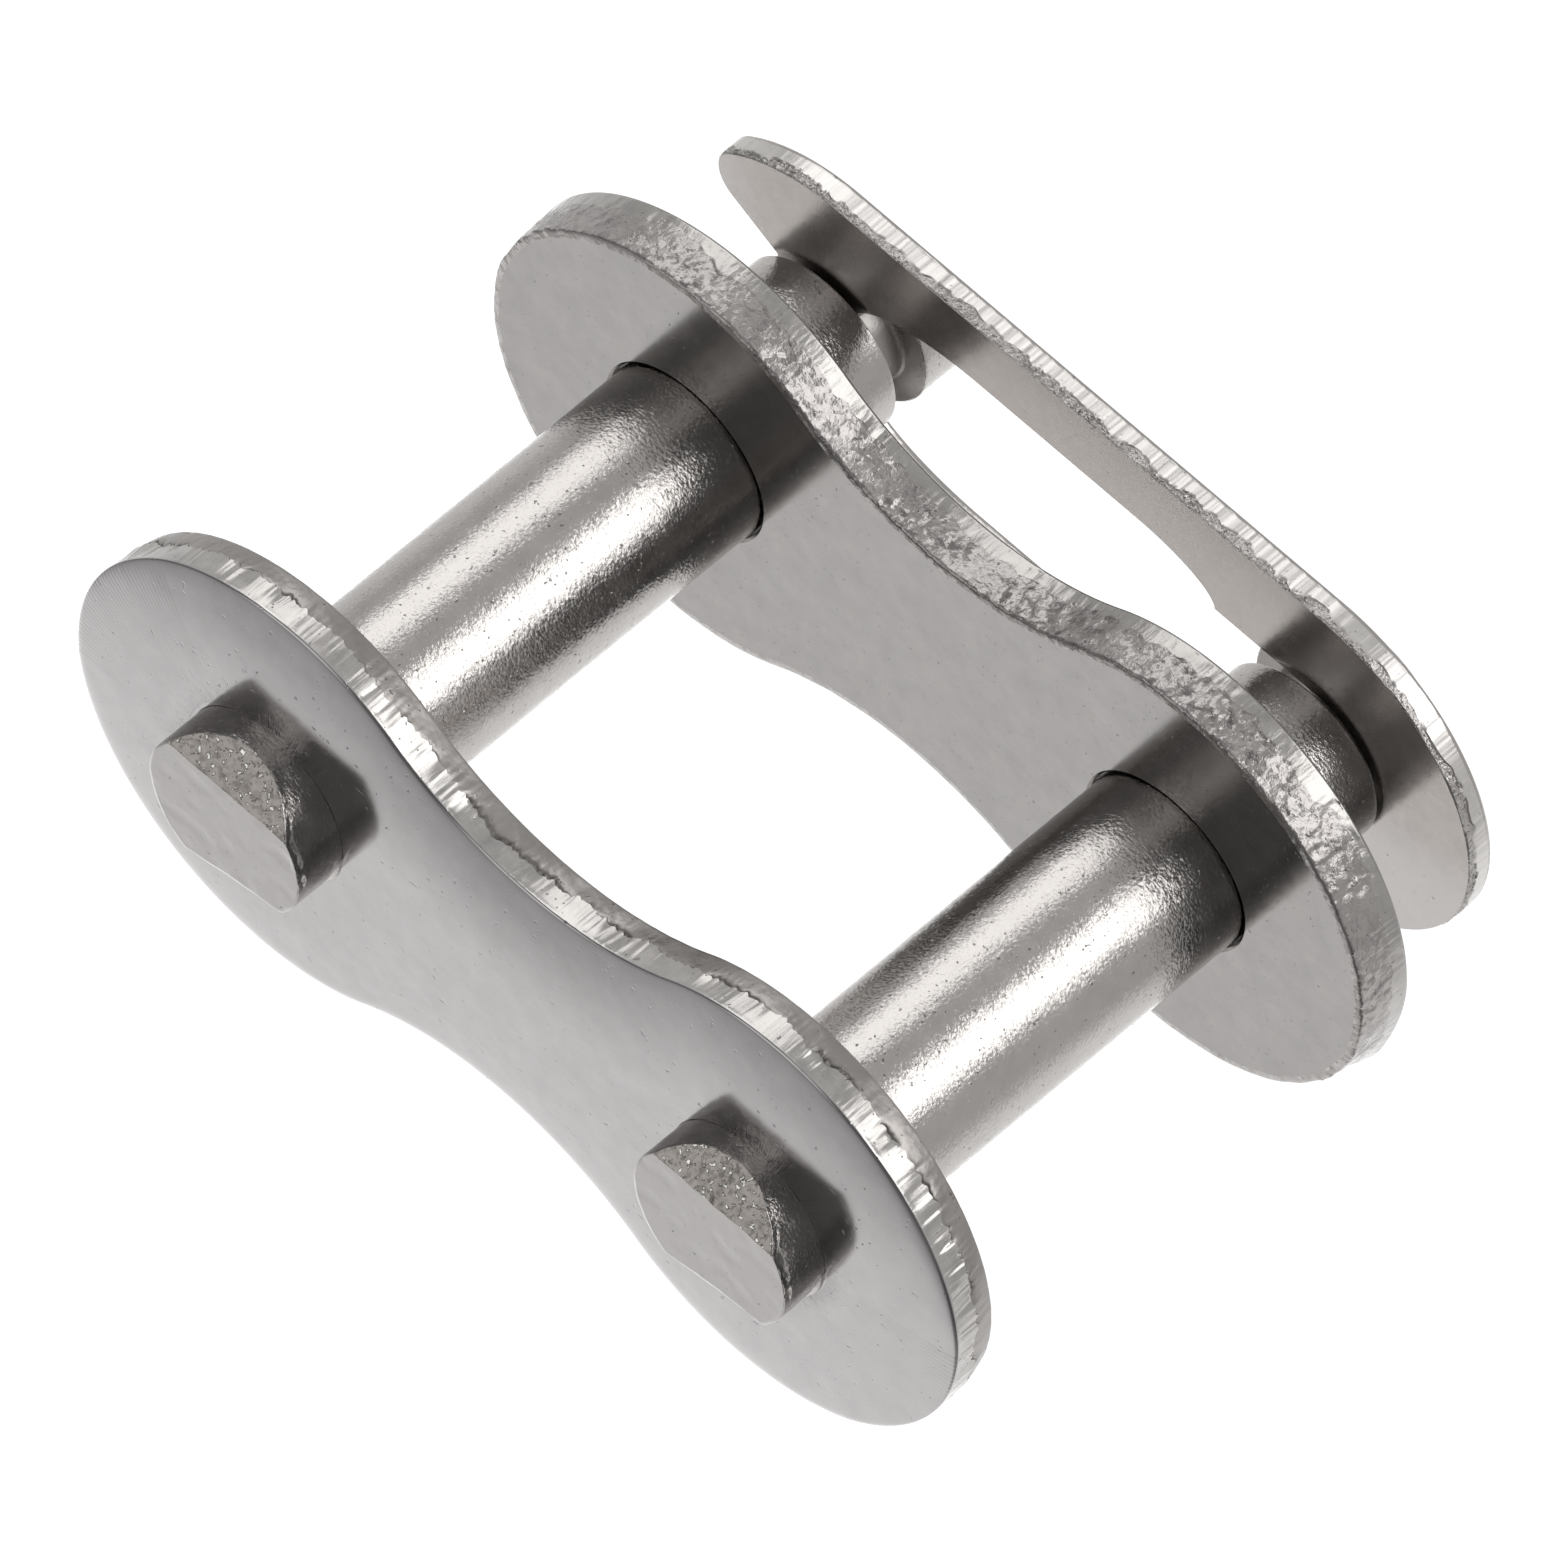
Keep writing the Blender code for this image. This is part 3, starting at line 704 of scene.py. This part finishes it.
def clip_rows(places, inner_y, outer_y):
    """Rows across the clip's edge, from its sharp inner face to its rolled outer one."""
    thickness = outer_y - inner_y
    rim = edge_places(places, 0)
    even = 0 * rim[:, 0]
    scoring = lumpy(rim, CLIP_SCORING, seed=45)
    rough = patchy(rim, 2.0, seed=47, middle=0.6, swing=3, least=0.1)
    break_end = thickness * (CLIP_BREAK_SHARE + lumpy(rim, CLIP_BREAK_EDGE, seed=41))
    step = CLIP_BREAK_STEP * patchy(rim, 0.6, seed=48, middle=0.5, swing=2.5, most=1.4)
    rows = [(inner_y + height * MM, inset * MM + even, BREAK) for height, inset in CLIP_BEVEL]
    for share in np.linspace(0, 1, CLIP_BREAK_ROWS):
        pits = lumpy(edge_places(places, share * break_end), CLIP_PITS, seed=43)
        inset = CLIP_BREAK_INSET + step + (scoring + pits * rough) * min(1, share * 6)
        depth = CLIP_BREAK_START + share * (break_end - CLIP_BREAK_START)
        rows.append((inner_y + depth, np.maximum(0, inset) * MM, BREAK))
    for share in np.linspace(0.08, 1, CLIP_LAND_ROWS):
        depth = break_end + share * (thickness - CLIP_ROLL - break_end)
        rows.append((inner_y + depth, np.maximum(0, CLIP_LAND_INSET + scoring) * MM, LAND))
    for turn in np.radians(np.linspace(15, 90, CLIP_ROLL_ROWS)):
        rows.append((outer_y - CLIP_ROLL * (1 - math.sin(turn)),
                     CLIP_ROLL * (1 - math.cos(turn)) + even, FACE))
    return rows


# Hardened strip, rolled smooth: a clear, slightly warm mirror with hardly a mark.
rolled_strip_steel = bright_steel("rolled_strip_steel", "bfbbb8", 0.2, grain_mm=0.06, grain_um=0.2,
                                  speck_mm=0.15, speck_um=2.0)
# Bright line along the clip's edge, rubbed straight across: polished steel, its colour the whitest here and
# raised above the plates' lands to paint in part of its highlight.
polished_land_painted_highlight = bright_steel("polished_land_painted_highlight", "dad7d4", 0.3, grain_mm=0.06, grain_um=3.0,
                                   drawn=(1, 0.12, 1), patch=0.08)
# Break of hard steel: deep small pits that glitter, with dark spots between.
pitted_break_steel = bright_steel("pitted_break_steel", "b8b4b1", 0.25, grain_mm=0.07, grain_um=30.0,
                                  speck_mm=0.08, speck_um=10.0, speck_tone=0.5, speck_below=0.36, patch=0.15)

clip_places = walk(clip_outline(), CLIP_STEP)
spring_clip = stamped_blank("spring_clip_steelwork", clip_places,
                            clip_rows(clip_places, clip_low.y - CLIP_SEATED, clip_high.y - CLIP_SEATED), [],
                            [rolled_strip_steel, polished_land_painted_highlight, pitted_break_steel])
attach(spring_clip, "link")
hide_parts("spring_clip")

# Studio
# A pale floor that glows all over, two soft boxes behind the link and a dim room before it, so that the
# plates' faces mirror the floor and each round pin shows two soft lines of light.
FLOOR_HALF = 1.5
FLOOR_GLOW = 0.99

floor_data = bpy.data.meshes.new("floor")
floor_data.from_pydata([(side_x * FLOOR_HALF, side_y * FLOOR_HALF, 0)
                        for side_x, side_y in [(-1, -1), (1, -1), (1, 1), (-1, 1)]], [], [(0, 1, 2, 3)])
floor = bpy.data.objects.new("floor", floor_data)
bpy.context.scene.collection.objects.link(floor)
# Glass lit from below: an even white to the camera, and clear to light, so that it holds no shadow.
back_lit_glass = bpy.data.materials.new("back_lit_glass")
back_lit_glass.use_nodes = True
glass_tree = back_lit_glass.node_tree
glass = glass_tree.nodes["Principled BSDF"]
glass.inputs["Base Color"].default_value = linear("8c8c8c")
glass.inputs["Roughness"].default_value = 0.9
glass.inputs["Specular IOR Level"].default_value = 0.0
glass.inputs["Emission Color"].default_value = linear("ffffff")
glass.inputs["Emission Strength"].default_value = FLOOR_GLOW
clear = add_node(glass_tree, "ShaderNodeBsdfTransparent")
seen = add_node(glass_tree, "ShaderNodeLightPath").outputs["Is Camera Ray"]
shown = add_node(glass_tree, "ShaderNodeMixShader", {0: seen, 1: clear.outputs[0], 2: glass.outputs[0]})
glass_tree.links.new(shown.outputs[0], glass_tree.nodes["Material Output"].inputs["Surface"])
floor_data.materials.append(back_lit_glass)


def soft_box(name, direction, distance, width, height, radiance):
    """Area light that faces the link."""
    light = bpy.data.lights.new(name, "AREA")
    light.shape = "RECTANGLE"
    light.size = width
    light.size_y = height
    light.energy = radiance * math.pi * width * height
    item = bpy.data.objects.new(name, light)
    away = Vector(direction).normalized()
    item.location = away * distance + Vector((0, 0, axis_z))
    item.rotation_euler = away.to_track_quat("Z", "Y").to_euler()
    bpy.context.scene.collection.objects.link(item)


soft_box("soft_box_left", (-0.57, 0.425, 0.70), distance=0.5, width=0.24, height=0.3, radiance=1.2)
soft_box("soft_box_right", (0.617, 0.425, 0.665), distance=0.5, width=0.34, height=0.3, radiance=1.9)

# Light of the room before the link, by the height of the direction that it comes from.
ROOM_LEVELS = [(-0.835, 1.0), (-0.80, 0.93), (-0.753, 0.76), (-0.72, 0.62), (-0.69, 0.54), (-0.65, 0.49),
               (-0.54, 0.36), (-0.27, 0.22), (0.0, 0.17)]
ROOM_TOP = 0.15
# Lamps as (direction, cosine where the glow starts, cosine where it is full, brightness).
LAMPS_BEHIND = [((-0.349, 0.425, -0.835), 0.965, 0.99, 0.9), ((-0.39, 0.2, -0.9), 0.84, 1.0, 0.6),
                ((-0.784, 0.4255, -0.4525), 0.85, 0.97, 0.22)]
LAMPS_BEFORE = [((-0.33, -0.78, 0.53), 0.86, 0.98, 0.75), ((-0.12, -0.425, 0.895), 0.955, 0.992, 0.4),
                ((-0.39, 0.2, -0.9), 0.84, 1.0, 0.6), ((-0.5, -0.85, -0.15), 0.75, 1.0, 0.25)]

world = bpy.data.worlds.new("room")
world.use_nodes = True
room = world.node_tree
direction = add_node(room, "ShaderNodeTexCoord").outputs["Generated"]


def glow(centre, start, end, dim, bright):
    """Light that rises from dim to bright towards one direction."""
    towards = add_node(room, "ShaderNodeVectorMath", {0: direction, 1: centre}, operation="DOT_PRODUCT")
    return add_node(room, "ShaderNodeMapRange", {"Value": towards.outputs["Value"], "From Min": start,
                                                 "From Max": end, "To Min": dim, "To Max": bright},
                    interpolation_type="SMOOTHSTEP").outputs["Result"]


def with_lamps(light, lamps):
    """The light with each lamp's glow added."""
    for centre, start, end, bright in lamps:
        lamp = glow(centre, start, end, 0, bright)
        light = add_node(room, "ShaderNodeMath", {0: light, 1: lamp}, operation="ADD").outputs[0]
    return light


height = add_node(room, "ShaderNodeSeparateXYZ", {"Vector": direction}).outputs["Z"]
height = add_node(room, "ShaderNodeMapRange", {"Value": height, "From Min": -1.0}).outputs["Result"]
ramp = add_node(room, "ShaderNodeValToRGB", {"Fac": height})
for place, shade in ROOM_LEVELS:
    ramp.color_ramp.elements.new((place + 1) / 2).color = (shade, shade, shade, 1)
ramp.color_ramp.elements[0].color = (1, 1, 1, 1)
ramp.color_ramp.elements[-1].color = (ROOM_TOP, ROOM_TOP, ROOM_TOP, 1)
behind = with_lamps(glow((0.3, 0.4, -0.87), 0.74, 0.98, 0.56, 1.0), LAMPS_BEHIND)
before = with_lamps(ramp.outputs["Color"], LAMPS_BEFORE)
shaded = glow((0.62, -0.43, -0.65), 0.8, 0.95, 1.0, 0.35)
before = add_node(room, "ShaderNodeMath", {0: before, 1: shaded}, operation="MULTIPLY").outputs[0]
side = glow((0, 1, 0), -0.25, 0.25, 0, 1)
around = add_node(room, "ShaderNodeMix", {0: side, 2: before, 3: behind}).outputs[0]
lit = room.nodes["Background"]
room.links.new(around, lit.inputs["Color"])
paper = add_node(room, "ShaderNodeBackground", {"Color": linear("f2f2f2"), "Strength": 1.0})
seen = add_node(room, "ShaderNodeLightPath").outputs["Is Camera Ray"]
shown = add_node(room, "ShaderNodeMixShader", {0: seen, 1: lit.outputs[0], 2: paper.outputs[0]})
room.links.new(shown.outputs[0], room.nodes["World Output"].inputs["Surface"])
bpy.context.scene.world = world

# Camera
# A long lens, high on the pin plate's side, held a little off level.
AIM = Vector((0.207, -0.599, 5.185)) * MM
AZIMUTH = math.radians(39.37)
ELEVATION = math.radians(56.61)
ROLL = math.radians(6.10)
DISTANCE = 0.7011
LENS_MM = 855.3
NEAREST = 0.05

camera_data = bpy.data.cameras.new("camera")
camera_data.lens = LENS_MM
camera_data.clip_start = NEAREST
camera = bpy.data.objects.new("camera", camera_data)
look = Vector((-math.sin(AZIMUTH) * math.cos(ELEVATION), math.cos(AZIMUTH) * math.cos(ELEVATION),
               -math.sin(ELEVATION)))
level = look.cross(Vector((0, 0, 1))).normalized()
right = Matrix.Rotation(-ROLL, 3, look) @ level
up = right.cross(look)
facing = Matrix((right, up, -look)).transposed().to_4x4()
camera.matrix_world = Matrix.Translation(AIM - look * DISTANCE) @ facing
bpy.context.scene.collection.objects.link(camera)
bpy.context.scene.camera = camera
bpy.context.scene.view_settings.view_transform = "Standard"
